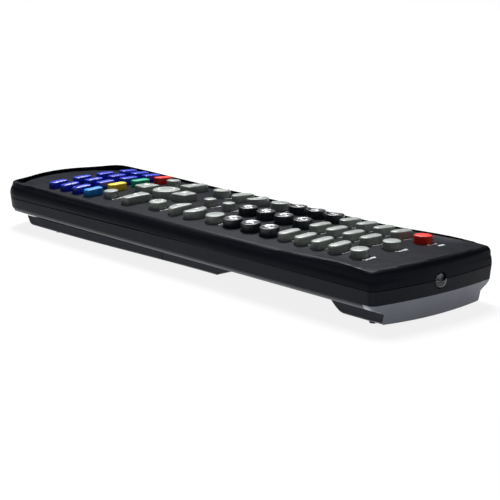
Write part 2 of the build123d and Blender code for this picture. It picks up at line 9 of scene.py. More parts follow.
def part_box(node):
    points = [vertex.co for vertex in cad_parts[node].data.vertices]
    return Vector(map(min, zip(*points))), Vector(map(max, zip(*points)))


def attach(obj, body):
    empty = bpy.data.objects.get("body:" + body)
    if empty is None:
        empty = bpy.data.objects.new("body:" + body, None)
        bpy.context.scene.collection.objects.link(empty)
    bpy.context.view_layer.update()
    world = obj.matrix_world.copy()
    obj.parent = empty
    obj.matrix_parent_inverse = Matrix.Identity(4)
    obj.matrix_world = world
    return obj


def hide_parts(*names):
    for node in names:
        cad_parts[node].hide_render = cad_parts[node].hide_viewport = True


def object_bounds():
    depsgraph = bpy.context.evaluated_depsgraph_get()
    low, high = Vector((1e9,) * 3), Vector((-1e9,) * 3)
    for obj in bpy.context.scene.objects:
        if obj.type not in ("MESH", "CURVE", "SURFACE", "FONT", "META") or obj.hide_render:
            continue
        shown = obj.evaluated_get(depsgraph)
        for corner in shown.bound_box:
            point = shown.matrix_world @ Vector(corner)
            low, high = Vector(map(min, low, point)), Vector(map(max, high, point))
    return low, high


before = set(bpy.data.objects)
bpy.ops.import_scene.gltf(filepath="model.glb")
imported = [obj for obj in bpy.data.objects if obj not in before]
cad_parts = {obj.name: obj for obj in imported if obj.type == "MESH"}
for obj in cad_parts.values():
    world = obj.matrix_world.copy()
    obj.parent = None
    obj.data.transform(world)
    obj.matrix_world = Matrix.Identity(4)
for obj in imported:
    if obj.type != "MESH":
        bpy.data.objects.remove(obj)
cadLow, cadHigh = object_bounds()
mm = 0.001
scene = bpy.context.scene


# Small helpers


def linear(hexColour):
    parts = [int(hexColour[i:i + 2], 16) / 255 for i in (1, 3, 5)]
    parts = [c / 12.92 if c <= 0.04045 else ((c + 0.055) / 1.055) ** 2.4 for c in parts]
    return (*parts, 1.0)


def addNode(tree, kind, sockets=None, settings=None):
    node = tree.nodes.new("ShaderNode" + kind)
    for name, value in (settings or {}).items():
        setattr(node, name, value)
    for name, value in (sockets or {}).items():
        if isinstance(value, bpy.types.Node):
            value = value.outputs[0]
        if isinstance(value, bpy.types.NodeSocket):
            tree.links.new(value, node.inputs[name])
        else:
            node.inputs[name].default_value = linear(value) if isinstance(value, str) else value
    return node


def newMaterial(name, surface, finish):
    material = bpy.data.materials.new(name)
    material.use_nodes = True
    tree = material.node_tree
    tree.nodes.clear()
    addNode(tree, "OutputMaterial", {"Surface": surface(tree, finish)})
    return material


def linked(name, data):
    made = bpy.data.objects.new(name, data)
    scene.collection.objects.link(made)
    return made


def meshFrom(name, bm, smooth):
    bmesh.ops.recalc_face_normals(bm, faces=bm.faces)
    mesh = bpy.data.meshes.new(name)
    bm.to_mesh(mesh)
    bm.free()
    mesh.polygons.foreach_set("use_smooth", [smooth] * len(mesh.polygons))
    return mesh


def evaluatedMesh(piece):
    depsgraph = bpy.context.evaluated_depsgraph_get()
    return bpy.data.meshes.new_from_object(piece.evaluated_get(depsgraph))


def addObject(name, data, body, materials=(), replaced=(), smooth=True):
    if isinstance(data, bmesh.types.BMesh):
        data = meshFrom(name, data, smooth)
    piece = linked(name, data)
    for material in materials:
        data.materials.append(material)
    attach(piece, body)
    if replaced:
        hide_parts(*replaced)
    return piece


def smoothStep(value, low, high):
    t = min(1.0, max(0.0, (value - low) / (high - low)))
    return t * t * (3 - 2 * t)


def circle(radius, count):
    angles = [2 * math.pi * i / count for i in range(count)]
    return [(radius * math.cos(angle), radius * math.sin(angle)) for angle in angles]


def joinRings(bm, rings, material=0):
    for low, high in zip(rings, rings[1:]):
        for i in range(len(low)):
            j = (i + 1) % len(low)
            bm.faces.new((low[i], low[j], high[j], high[i])).material_index = material


# Camera: the photograph's place, looking back along the body from beyond the infrared end

photoCamera = {
    "place": (389.46, 457.94, 146.87), "right": (-0.7524, 0.6587, 0.0),
    "up": (-0.1531, -0.1749, 0.9726), "back": (0.6406, 0.7318, 0.2324),
    "lens": 125.57, "sensor": 36.0, "clipStart": 0.01,
}
cameraData = bpy.data.cameras.new("photoCamera")
cameraData.lens = photoCamera["lens"]
cameraData.sensor_width = photoCamera["sensor"]
cameraData.clip_start = photoCamera["clipStart"]
camera = linked("photoCamera", cameraData)
axes = Matrix((photoCamera["right"], photoCamera["up"], photoCamera["back"])).transposed()
camera.matrix_world = Matrix.Translation(Vector(photoCamera["place"]) * mm) @ axes.to_4x4()
scene.camera = camera
scene.view_settings.view_transform = "Standard"
print("camera ready")


# Studio: pale floor, soft lamps

studio = {
    "floorReach": 6.0, "floorDrop": 0.0001, "floorColour": "#f4f4f5", "floorRoughness": 0.9,
    "floorGlow": 0.85, "ambient": 0.12,
    "flagColour": "#0c0c0e", "flagRadius": 0.55, "flagHeight": 0.42, "flagSides": 48,
}
softLamps = {
    "softTop": {"place": (-0.3, -0.45, 0.85), "aim": (0, 0, 0), "size": 0.55, "watts": 20.0},
    "softFront": {"place": (0.75, 0.85, 0.6), "aim": (0, 0.05, 0), "size": 0.5, "watts": 0.36},
    "softLow": {"place": (0.55, 0.75, -0.7), "aim": (0, 0, 0), "size": 0.6, "watts": 3.5},
    "softUnder": {"place": (0.0, -0.7, -0.8), "aim": (0, 0, 0), "size": 0.6, "watts": 8.0},
}
white = (1, 1, 1, 1)


def paleRays(tree):
    # 1 for the camera, reflections and glass, which see the backdrop white; 0 for plain light
    path = addNode(tree, "LightPath").outputs
    seen = addNode(tree, "Math", {0: path["Is Camera Ray"], 1: path["Is Glossy Ray"]},
                   {"operation": "MAXIMUM"})
    return addNode(tree, "Math", {0: seen, 1: path["Is Transmission Ray"]},
                   {"operation": "MAXIMUM"})


def paintedFloor(tree, finish):
    paint = addNode(tree, "BsdfPrincipled", {
        "Base Color": finish["floorColour"], "Roughness": finish["floorRoughness"],
        "Specular IOR Level": 0.0})
    glow = addNode(tree, "Emission", {"Color": white, "Strength": 1.0})
    share = addNode(tree, "Math", {0: paleRays(tree), 1: finish["floorGlow"]},
                    {"operation": "MULTIPLY"})
    top = addNode(tree, "MixShader", {0: share, 1: paint, 2: glow})
    # clear from below, so that the underside can be seen
    side = addNode(tree, "NewGeometry").outputs["Backfacing"]
    clear = addNode(tree, "BsdfTransparent")
    return addNode(tree, "MixShader", {0: side, 1: top, 2: clear})


def flagCloth(tree, finish):
    return addNode(tree, "BsdfPrincipled", {
        "Base Color": finish["flagColour"], "Roughness": 1.0, "Specular IOR Level": 0.0})


world = bpy.data.worlds.new("studioWorld")
world.use_nodes = True
scene.world = world
worldTree = world.node_tree
worldTree.nodes.clear()
strength = addNode(worldTree, "Mix", {
    "Factor": paleRays(worldTree), "A": studio["ambient"], "B": 1.0}, {"data_type": "FLOAT"})
backdrop = addNode(worldTree, "Background", {"Color": white, "Strength": strength})
addNode(worldTree, "OutputWorld", {"Surface": backdrop})

reach = studio["floorReach"]
floorMesh = bpy.data.meshes.new("floor")
floorCorners = [(-reach, -reach, 0), (reach, -reach, 0), (reach, reach, 0), (-reach, reach, 0)]
floorMesh.from_pydata(floorCorners, [], [(0, 1, 2, 3)])
floorMesh.materials.append(newMaterial("paleFloor", paintedFloor, studio))
floor = linked("floor", floorMesh)
floor.location.z = -studio["floorDrop"]
floor.visible_shadow = False  # the two low lamps light the underside through it

# A ring of black flags keeps the dark plastic dark, as in any studio
flagPoints = [(x, y, z) for x, y in circle(studio["flagRadius"], studio["flagSides"])
              for z in (0.0, studio["flagHeight"])]
count = len(flagPoints)
flagFaces = [(i, (i + 2) % count, (i + 3) % count, i + 1) for i in range(0, count, 2)]
flagMesh = bpy.data.meshes.new("flags")
flagMesh.from_pydata(flagPoints, [], flagFaces)
flagMesh.materials.append(newMaterial("blackFlagCloth", flagCloth, studio))
flags = linked("flags", flagMesh)
flags.visible_camera = False
flags.visible_diffuse = False
flags.visible_transmission = False
flags.visible_shadow = False

for lampName, spec in softLamps.items():
    lampData = bpy.data.lights.new(lampName, "AREA")
    lampData.shape = "DISK"
    lampData.size = spec["size"]
    lampData.energy = spec["watts"]
    lampObject = linked(lampName, lampData)
    lampObject.location = spec["place"]
    aim = Vector(spec["aim"]) - Vector(spec["place"])
    lampObject.rotation_euler = aim.to_track_quat("-Z", "Y").to_euler()
print("studio ready")


# Materials

mixColour = {"data_type": "RGBA"}
noiseSpread = {"From Min": 0.3, "From Max": 0.7}  # most of a noise's values lie between these

# Injection-moulded ABS from a spark-textured tool: satin black with a fine even grain, a little
# shinier and greyer where hands rub the edges. The real grain is about 0.15 mm and is drawn
# three to six times coarser, so that it shows.
absWear = {"cloudMm": 18.0, "handlingMm": 6.0, "glossDrift": 0.05, "grainStrength": 0.55,
           "rubbed": {"From Min": 0.51, "From Max": 0.6, "To Max": 0.55}}


def mouldedAbs(tree, finish):
    at = addNode(tree, "TexCoord").outputs["Object"]
    cloud = addNode(tree, "TexNoise", {"Vector": at, "Scale": 1 / (absWear["cloudMm"] * mm)})
    tint = addNode(tree, "Mix", {
        "Factor": cloud.outputs["Fac"], "A": finish["colour"], "B": finish["worn"]}, mixColour)
    if "low" in finish:
        # painted reflection: paler towards the lower edge, standing in for the pale floor reflected
        # in the downward-leaning side
        colour, fromMm, toMm = finish["low"]
        height = addNode(tree, "SeparateXYZ", {0: at})
        down = addNode(tree, "MapRange", {
            "Value": height.outputs["Z"], "From Min": fromMm * mm, "From Max": toMm * mm},
            {"interpolation_type": "SMOOTHSTEP"})
        tint = addNode(tree, "Mix", {
            "Factor": down, "A": tint.outputs["Result"], "B": colour}, mixColour)
    edge = addNode(tree, "NewGeometry").outputs["Pointiness"]
    rubbed = addNode(tree, "MapRange", {"Value": edge, **absWear["rubbed"]})
    base = addNode(tree, "Mix", {
        "Factor": rubbed, "A": tint.outputs["Result"], "B": finish["worn"]}, mixColour)
    handling = addNode(tree, "TexNoise", {
        "Vector": at, "Scale": 1 / (absWear["handlingMm"] * mm), "Detail": 3.0})
    rough = addNode(tree, "MapRange", {
        "Value": handling.outputs["Fac"], **noiseSpread,
        "To Min": finish["roughness"] - absWear["glossDrift"],
        "To Max": finish["roughness"] + absWear["glossDrift"]})
    grain = addNode(tree, "TexNoise", {
        "Vector": at, "Scale": 1 / (finish["grainMm"] * mm), "Detail": 1.0})
    bump = addNode(tree, "Bump", {
        "Height": grain.outputs["Fac"], "Strength": absWear["grainStrength"],
        "Distance": finish["depthMm"] * mm})
    return addNode(tree, "BsdfPrincipled", {
        "Base Color": base.outputs["Result"], "Roughness": rough,
        "Normal": bump, "Specular IOR Level": finish["specular"], "IOR": 1.5})


# Pigmented silicone, compression moulded and lacquered: soft gloss, faint mottling in the
# pigment about 1.6 mm across, paler along its rounded edges.
rubberSkin = {"pigmentMm": 1.6, "mottle": 0.35, "handlingMm": 2.2, "glossDrift": (0.05, 0.06),
              "rounded": {"From Min": 0.52, "From Max": 0.62, "To Max": 0.5},
              "skinMm": 0.5, "skinDepthMm": 0.02, "skinStrength": 0.2, "coatRoughness": 0.22}


def siliconeRubber(tree, finish):
    at = addNode(tree, "TexCoord").outputs["Object"]
    pigment = addNode(tree, "TexNoise", {
        "Vector": at, "Scale": 1 / (rubberSkin["pigmentMm"] * mm), "Detail": 3.0})
    mottle = addNode(tree, "MapRange", {
        "Value": pigment.outputs["Fac"], **noiseSpread, "To Max": rubberSkin["mottle"]})
    tint = addNode(tree, "Mix", {
        "Factor": mottle, "A": finish["colour"], "B": finish["pale"]}, mixColour)
    edge = addNode(tree, "NewGeometry").outputs["Pointiness"]
    rounded = addNode(tree, "MapRange", {"Value": edge, **rubberSkin["rounded"]})
    base = addNode(tree, "Mix", {
        "Factor": rounded, "A": tint.outputs["Result"], "B": finish["pale"]}, mixColour)
    handling = addNode(tree, "TexNoise", {
        "Vector": at, "Scale": 1 / (rubberSkin["handlingMm"] * mm)})
    glossier, duller = rubberSkin["glossDrift"]
    rough = addNode(tree, "MapRange", {
        "Value": handling.outputs["Fac"], **noiseSpread,
        "To Min": finish["roughness"] - glossier, "To Max": finish["roughness"] + duller})
    skin = addNode(tree, "TexNoise", {"Vector": at, "Scale": 1 / (rubberSkin["skinMm"] * mm)})
    bump = addNode(tree, "Bump", {
        "Height": skin.outputs["Fac"], "Strength": rubberSkin["skinStrength"],
        "Distance": rubberSkin["skinDepthMm"] * mm})
    return addNode(tree, "BsdfPrincipled", {
        "Base Color": base.outputs["Result"], "Roughness": rough,
        "Normal": bump, "Specular IOR Level": finish["specular"], "IOR": 1.43,
        "Coat Weight": finish["coat"], "Coat Roughness": rubberSkin["coatRoughness"]})


# Plated sheet or wire: bright, with fine drawing marks along one way.
drawing = {"stretch": (1.0, 0.15, 1.0), "shade": "#8d9094", "glossDrift": (0.06, 0.1)}


def drawnMetal(tree, finish):
    at = addNode(tree, "TexCoord").outputs["Object"]
    stretch = addNode(tree, "Mapping", {"Vector": at, "Scale": drawing["stretch"]})
    marks = addNode(tree, "TexNoise", {
        "Vector": stretch, "Scale": 1 / (finish["markMm"] * mm), "Detail": 3.0})
    base = addNode(tree, "Mix", {
        "Factor": marks.outputs["Fac"], "A": finish["colour"], "B": drawing["shade"]}, mixColour)
    brighter, duller = drawing["glossDrift"]
    rough = addNode(tree, "MapRange", {
        "Value": marks.outputs["Fac"], **noiseSpread,
        "To Min": finish["roughness"] - brighter, "To Max": finish["roughness"] + duller})
    return addNode(tree, "BsdfPrincipled", {
        "Base Color": base.outputs["Result"], "Roughness": rough, "Metallic": 1.0})


def driftingGloss(tree, at, finish):
    # slow clouds, and a roughness that goes with them
    cloud = addNode(tree, "TexNoise", {"Vector": at, "Scale": 1 / (finish["cloudMm"] * mm)})
    low, high = finish["roughness"]
    rough = addNode(tree, "MapRange", {
        "Value": cloud.outputs["Fac"], **noiseSpread, "To Min": low, "To Max": high})
    return cloud, rough


def cloudedPlastic(tree, finish):
    # A cast or filled plastic: its colour and gloss drift a little from place to place.
    at = addNode(tree, "TexCoord").outputs["Object"]
    cloud, rough = driftingGloss(tree, at, finish)
    base = addNode(tree, "Mix", {
        "Factor": cloud.outputs["Fac"], "A": finish["colour"], "B": finish["pale"]}, mixColour)
    return addNode(tree, "BsdfPrincipled", {
        "Base Color": base.outputs["Result"], "Roughness": rough, "IOR": finish["ior"],
        "Transmission Weight": finish.get("clear", 0.0)})


def solderMaskBoard(tree, finish):
    # Phenolic paper board: glossy green mask over copper tracks a few millimetres apart.
    at = addNode(tree, "TexCoord").outputs["Object"]
    tracks = addNode(tree, "TexBrick", {
        "Vector": at, "Scale": 1 / (finish["trackMm"] * mm), "Mortar Size": 0.03,
        "Mortar Smooth": 0.1, "Color1": finish["mask"],
        "Color2": finish["maskPale"], "Mortar": finish["track"]}, {"offset": 0.5})
    rough = driftingGloss(tree, at, finish)[1]
    return addNode(tree, "BsdfPrincipled", {
        "Base Color": tracks.outputs["Color"], "Roughness": rough, "IOR": 1.55})


upperAbs = newMaterial("blackAbsUpper", mouldedAbs, {
    "colour": "#0a0c12", "worn": "#12141b", "grainMm": 0.55, "depthMm": 0.03,
    "roughness": 0.44, "specular": 0.05})
# the lower shell's paler band along its lower edge is painted reflection of the floor
lowerAbs = newMaterial("blackAbsLower", mouldedAbs, {
    "colour": "#0c0e14", "worn": "#16181f", "grainMm": 0.7, "depthMm": 0.05,
    "roughness": 0.42, "specular": 0.07, "low": ("#34363e", 7.6, 5.6)})
# Painted light: the front slope underneath gets a pale grey that stands in for the floor's light
# falling on it; its coarser grain is the plastic's own.
slopeAbs = newMaterial("coarseAbsSlopePaintedLight", mouldedAbs, {
    "colour": "#5a5d66", "worn": "#6b6e78", "grainMm": 0.9, "depthMm": 0.06,
    "roughness": 0.5, "specular": 0.4})
plainRubber = {"roughness": 0.42, "specular": 0.5, "coat": 0.0}
rubberFinishes = {
    "grey": {"colour": "#858b87", "pale": "#b2b9b4", "roughness": 0.4, "coat": 0.25},
    "black": {"colour": "#202228", "pale": "#474a52", "roughness": 0.34, "coat": 0.4},
    "red": {"colour": "#dc1a1a", "pale": "#f4503e", "specular": 0.35},
    "green": {"colour": "#0c9a78", "pale": "#2fb795", "specular": 0.35},
    "yellow": {"colour": "#f4c813", "pale": "#fce05a", "specular": 0.35},
    "lightBlue": {"colour": "#167cd2", "pale": "#45a6e6", "specular": 0.35},
    "blue": {"colour": "#1a2eb8", "pale": "#3350de", "roughness": 0.3, "coat": 0.35},
    "mat": {"colour": "#77797a", "pale": "#8d8f90", "roughness": 0.6, "specular": 0.3},
}
rubber = {colour: newMaterial(colour + "Silicone", siliconeRubber, {**plainRubber, **finish})
          for colour, finish in rubberFinishes.items()}
springSteel = newMaterial("nickelPlatedSteel", drawnMetal, {
    "colour": "#c9c7c0", "roughness": 0.28, "markMm": 0.12})
screwSteel = newMaterial("zincPlatedSteel", drawnMetal, {
    "colour": "#a9acb0", "roughness": 0.34, "markMm": 0.1})
tinnedCopper = newMaterial("tinnedCopper", drawnMetal, {
    "colour": "#cfcfcb", "roughness": 0.25, "markMm": 0.1})
# pad-printed ink under lacquer: flat white, slightly broken by the grain beneath
whiteInk = newMaterial("whiteInk", cloudedPlastic, {
    "colour": "#f0f1f1", "pale": "#d6d8d8", "cloudMm": 0.35, "roughness": (0.45, 0.55), "ior": 1.5})
# water-clear lamp epoxy with a faint smoky cloud in the casting; its grey tint is painted shade,
# standing in for the dark inside of the lamp hole
clearEpoxyPaintedShade = newMaterial("clearEpoxyPaintedShade", cloudedPlastic, {
    "colour": "#5c626a", "pale": "#737a83", "cloudMm": 3.0, "roughness": (0.01, 0.04),
    "ior": 1.54, "clear": 1.0})
# light-diffusing acrylic: pale and satin, light soaks into it
milkyAcrylic = newMaterial("milkyAcrylic", cloudedPlastic, {
    "colour": "#c4c6c6", "pale": "#dcdddc", "cloudMm": 1.0, "roughness": (0.25, 0.4), "ior": 1.49})
# moulded chip epoxy: matt black with fine filler grit
chipEpoxy = newMaterial("chipEpoxy", cloudedPlastic, {
    "colour": "#18191a", "pale": "#26282a", "cloudMm": 0.3, "roughness": (0.5, 0.65), "ior": 1.55})
# heat-shrunk PVC sleeve of the cell: glossy plain colour
cellSleeve = newMaterial("cellSleeve", cloudedPlastic, {
    "colour": "#20305c", "pale": "#283a6b", "cloudMm": 2.5, "roughness": (0.2, 0.3), "ior": 1.53})
boardLaminate = newMaterial("solderMaskBoard", solderMaskBoard, {
    "mask": "#1f5a36", "maskPale": "#235f3b", "track": "#3f8a55", "trackMm": 9.0,
    "cloudMm": 1.5, "roughness": (0.3, 0.42)})
print("materials ready")


# The bowed surface that the key tops share, in millimetres as all sizes from here on

keySurface = {"belowLimit": 0.05, "crownRadius": 296.0, "bowRadius": 6120.0, "bowY": 70.5}


def sag(x, y, bowRadius):
    across = x * x / (2 * keySurface["crownRadius"])
    return across + (y - keySurface["bowY"]) ** 2 / (2 * bowRadius)


def keyTop(x, y):
    return cadHigh.z / mm - keySurface["belowLimit"] - sag(x, y, keySurface["bowRadius"])


# Shells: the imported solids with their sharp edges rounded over

shells = {
    "top_housing": {"body": "root", "slot": "upper_shell", "material": upperAbs,
                    "edge": 0.16, "fuller": True},
    "bottom_housing": {"body": "root", "slot": "lower_shell", "material": lowerAbs,
                       "edge": 0.2, "fuller": True, "slope": True},
    "battery_cover": {"body": "battery_cover", "slot": "lower_shell", "material": lowerAbs,
                      "edge": 0.2, "fuller": True},
    "keypad_mat": {"body": "root", "slot": "mat", "material": rubber["mat"], "edge": 0.12},
    "circuit_board": {"body": "root", "slot": "board", "material": boardLaminate, "edge": 0.08},
    "board_components": {"body": "root", "slot": "chip", "material": chipEpoxy, "edge": 0.2},
}
# The moulded shells are fuller than their plain solids: the front edge and the tail's rim stand
# a little higher, the tail's corners are squarer and the pads' sides hang lower. A pair is where
# a change begins and ends, or its size along the middle and what is added at the sides.
fullness = {
    "aboveZ": 15.6, "front": (82.0, 97.0), "frontRise": (0.85, 0.5),
    "rim": (50.0, 88.0), "rimAcross": (22.5, 26.0), "rimHeight": 0.5, "rimMargin": 0.3,
    "keyHeight": 2.85,
    "tail": (30.0, 104.0), "tailRise": (0.1, 1.3),
    "lampFrom": 100.0, "lampHole": (3.6, 2.62),
    "corner": (13.0, -80.0), "cornerRadius": 15.0, "cornerPush": 1.7,
    "pad": (2.2, 5.4), "padHalf": 22.0, "padMargin": 0.3, "padFloor": 0.3, "betweenPads": 50.0,
    "padDrop": (0.75, 1.15), "rearPad": (-70.0, 20.0), "padShort": 3.0, "padFront": (8.0, 32.0),
    "pipX": 19.3, "pipRadius": 1.5, "pipHeight": 0.2,
    "rollFrom": 7.6, "rollOutside": 24.5, "rollRate": 0.26,
}
ledLow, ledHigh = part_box("ir_led")
lampZ = (ledLow.z + ledHigh.z) / 2 / mm


def fuller(point):
    x, y, z = point / mm
    across = min(1.0, (x / (cadHigh.x / mm)) ** 2)
    if z > fullness["aboveZ"]:
        level, sides = fullness["frontRise"]
        rise = level + sides * across
        late, early = smoothStep(y, *fullness["front"]), smoothStep(y, *fullness["rim"])
        onRim = z > keyTop(x, y) - fullness["keyHeight"] + fullness["rimMargin"]
        runOut = late * fullness["rimHeight"] if onRim else 0
        z += (late + (early - late) * smoothStep(abs(x), *fullness["rimAcross"])) * rise - runOut
        level, sides = fullness["tailRise"]
        z += smoothStep(-y, *fullness["tail"]) * (level + sides * across ** 2)
    # the lamp hole narrows at its mouth
    wide, narrow = fullness["lampHole"]
    fromLamp = math.hypot(x, z - lampZ)
    if y > fullness["lampFrom"] and fromLamp < wide:
        share = narrow / fromLamp
        x, z = x * share, lampZ + (z - lampZ) * share
    cornerX, cornerY = fullness["corner"]
    dx, dy = abs(x) - cornerX, y - cornerY
    if dx > 0 > dy:
        away = math.hypot(dx, dy)
        diagonal = (2 * dx * dy / away ** 2) ** 2
        y -= fullness["cornerPush"] * diagonal * away / fullness["cornerRadius"]
    onPip = abs(abs(x) - fullness["pipX"]) < fullness["pipRadius"] and z < fullness["pipHeight"]
    padLow, padHigh = fullness["pad"]
    if z < padHigh and abs(x) < fullness["padHalf"] + fullness["padMargin"] and not onPip:
        share = 1 - smoothStep(z, padLow, padHigh)
        drop, rearDrop = fullness["padDrop"]
        if y <= fullness["betweenPads"]:
            drop = rearDrop * (1 - smoothStep(y, *fullness["rearPad"]))
        z = max(fullness["padFloor"], z - share * drop * (x / fullness["padHalf"]) ** 2)
        if y < fullness["betweenPads"]:
            y -= share * fullness["padShort"] * smoothStep(y, *fullness["padFront"])
    if z < fullness["rollFrom"] and abs(x) > fullness["rollOutside"]:
        x -= math.copysign(fullness["rollRate"] * (fullness["rollFrom"] - z) ** 2, x)
    return Vector((x, y, z)) * mm


# Planes that divide the long faces, so that they can follow the fuller form
shellCuts = {
    "merge": 2e-6, "near": 1e-7, "flatAngle": math.radians(0.4),
    "along": (*range(52, 82, 5), *range(84, 102, 3), *range(-30, -102, -7)),
    "up": (7.6, 7.1, 6.6, 6.2),
    "padAcross": range(-20, 21, 5), "padAlong": range(-20, 36, 5),
}


def cutFaces(bm, faces, spot, way):
    edges = dict.fromkeys(e for f in faces for e in f.edges)
    verts = dict.fromkeys(v for f in faces for v in f.verts)
    bmesh.ops.bisect_plane(bm, geom=[*verts, *edges, *faces], dist=shellCuts["near"],
                           plane_co=[c * mm for c in spot], plane_no=way)


# The upper shell's outer edge is a wide soft rounding in place of the plain solid's chamfer
softEdge = {"inset": 1.8, "depth": 3.4, "chamfer": 1.1, "cuts": (12.4, 18.6, 0.45),
            "flattest": 0.85, "probe": 0.02, "rimTop": 18.9, "rimBow": 9700.0,
            "runOut": (88.5, 97.5)}


def outerSkin(bm):
    # the side faces that nothing stands in front of
    bm.normal_update()
    bm.faces.ensure_lookup_table()
    solid = BVHTree.FromBMesh(bm)
    skin = []
    for f in bm.faces:
        centre, level = f.calc_center_median(), Vector((f.normal.x, f.normal.y, 0))
        if abs(f.normal.z) < softEdge["flattest"] and level.dot(centre) > 0:
            level.normalize()
            if solid.ray_cast(centre + level * softEdge["probe"] * mm, level)[0] is None:
                skin.append(f)
    return skin


def softenEdge(bm):
    z, top, step = softEdge["cuts"]
    while z < top:
        near = [f for f in outerSkin(bm)
                if min(v.co.z for v in f.verts) < z * mm < max(v.co.z for v in f.verts)]
        cutFaces(bm, near, (0, 0, z), (0, 0, 1))
        z += step
    outward = {}
    for f in outerSkin(bm):
        way = Vector((f.normal.x, f.normal.y, 0)).normalized()
        for v in f.verts:
            outward[v] = outward.get(v, Vector()) + way
    for v, way in outward.items():
        x, y, z = v.co / mm
        rimTop = softEdge["rimTop"] - sag(x, y, softEdge["rimBow"])
        down = rimTop - fullness["rimHeight"] * smoothStep(y, *softEdge["runOut"]) - z
        if down < softEdge["depth"]:
            part = 1 - max(0.0, down) / softEdge["depth"]
            inset = softEdge["inset"] * (1 - math.sqrt(1 - part * part))
            cut = max(0.0, softEdge["chamfer"] - (rimTop - z))
            v.co -= way.normalized() * max(0.0, inset - cut) * mm


# Crisp edges get a small moulded radius; the shallow ones are shaded as one rolled surface
rounding = {"crispAngle": math.radians(52), "softAngle": math.radians(32), "segments": 2,
            "shadeWeight": 80}
# the faces of the front slope that take the pale painted-light material: how far forward, and the
# range of their downward tilt
slopeFaces = {"ahead": 95.0, "steepest": -0.93, "shallowest": -0.22}


def addBevel(piece, width, segments=rounding["segments"], limit="ANGLE"):
    bevel = piece.modifiers.new("roundedEdges", "BEVEL")
    bevel.width = width * mm
    bevel.segments = segments
    bevel.limit_method = limit
    bevel.angle_limit = rounding["softAngle"]


def roundedCopy(name, spec):
    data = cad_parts[name].data.copy()
    data.name = name + "_rounded"
    data.materials.clear()
    bm = bmesh.new()
    bm.from_mesh(data)
    bmesh.ops.remove_doubles(bm, verts=bm.verts, dist=shellCuts["merge"])
    bmesh.ops.dissolve_limit(bm, angle_limit=shellCuts["flatAngle"], verts=bm.verts, edges=bm.edges)
    if name == "top_housing":
        softenEdge(bm)
    if spec.get("fuller"):
        for y in shellCuts["along"]:
            cutFaces(bm, bm.faces[:], (0, y, 0), (0, 1, 0))
        for z in shellCuts["up"]:
            cutFaces(bm, bm.faces[:], (0, 0, z), (0, 0, 1))
        # the crowned pads underneath need faces narrow enough to follow the crown
        padCuts = [((x, 0, 0), (1, 0, 0)) for x in shellCuts["padAcross"]]
        padCuts += [((0, y, 0), (0, 1, 0)) for y in shellCuts["padAlong"]]
        for spot, way in padCuts:
            low = [f for f in bm.faces if min(v.co.z for v in f.verts) < fullness["pad"][1] * mm]
            cutFaces(bm, low, spot, way)
        for v in bm.verts:
            v.co = fuller(v.co)
    bm.normal_update()
    weight = bm.edges.layers.float.new("bevel_weight_edge")
    for e in bm.edges:
        crisp = len(e.link_faces) == 2 and e.calc_face_angle(0) > rounding["crispAngle"]
        e[weight] = float(crisp)
    # the front slope's faces get the second, paler material: painted light, not a different plastic
    if spec.get("slope"):
        for f in bm.faces:
            ahead = f.calc_center_median().y / mm > slopeFaces["ahead"]
            tilted = slopeFaces["steepest"] < f.normal.z < slopeFaces["shallowest"]
            f.material_index = int(ahead and tilted)
    bm.to_mesh(data)
    bm.free()
    custom = data.attributes.get("custom_normal")
    if custom:
        data.attributes.remove(custom)
    data.polygons.foreach_set("use_smooth", [True] * len(data.polygons))
    materials = [spec["material"]] + ([slopeAbs] if spec.get("slope") else [])
    piece = addObject(name + "_shell", data, spec["body"], materials, [name])
    addBevel(piece, spec["edge"], limit="WEIGHT")
    shade = piece.modifiers.new("shading", "WEIGHTED_NORMAL")
    shade.mode = "FACE_AREA_WITH_ANGLE"
    shade.weight = rounding["shadeWeight"]
    return piece


shellPieces = {name: roundedCopy(name, spec) for name, spec in shells.items()}
print("shells ready")


# Key outlines, counter-clockwise

outlineShape = {"step": 0.22, "straight": 1e-4, "shortest": 1e-9, "rockerShoulder": -0.1,
                "rockerCorner": 0.9, "rockerArc": 12, "rockerSmoothing": 2,
                "smoothShares": (0.25, 0.75), "arrowCorner": 0.8, "roundShare": 0.999}


def roundedPolygon(corners):
    points = []
    count = len(corners)
    for i, (x, y, radius) in enumerate(corners):
        here = Vector((x, y))
        before = (Vector(corners[i - 1][:2]) - here).normalized()
        after = (Vector(corners[(i + 1) % count][:2]) - here).normalized()
        half = before.angle(after) / 2
        if radius <= 0 or abs(half - math.pi / 2) < outlineShape["straight"]:
            points.append(here)
            continue
        run = radius / math.tan(half)
        centre = here + (before + after).normalized() * (radius / math.sin(half))
        start = here + before * run - centre
        sweep = math.pi - 2 * half
        parts = max(2, math.ceil(sweep * radius / outlineShape["step"]))
        for k in range(parts + 1):
            points.append(centre + Matrix.Rotation(sweep * k / parts, 2) @ start)
    return points


def evenly(points, count):
    # the same outline with its points at even distances
    lengths = [0.0]
    loop = points + [points[0]]
    for a, b in zip(loop, loop[1:]):
        lengths.append(lengths[-1] + (b - a).length)
    spread, k = [], 0
    for i in range(count):
        target = lengths[-1] * i / count
        while lengths[k + 1] < target:
            k += 1
        length = max(lengths[k + 1] - lengths[k], outlineShape["shortest"])
        spread.append(loop[k].lerp(loop[k + 1], (target - lengths[k]) / length))
    return spread


def boxOutline(width, depth, corner):
    a, b = width / 2, depth / 2
    return roundedPolygon([(a, -b, corner), (a, b, corner), (-a, b, corner), (-a, -b, corner)])


def roundOutline(width, depth):
    return boxOutline(width, depth, min(width, depth) / 2 * outlineShape["roundShare"])


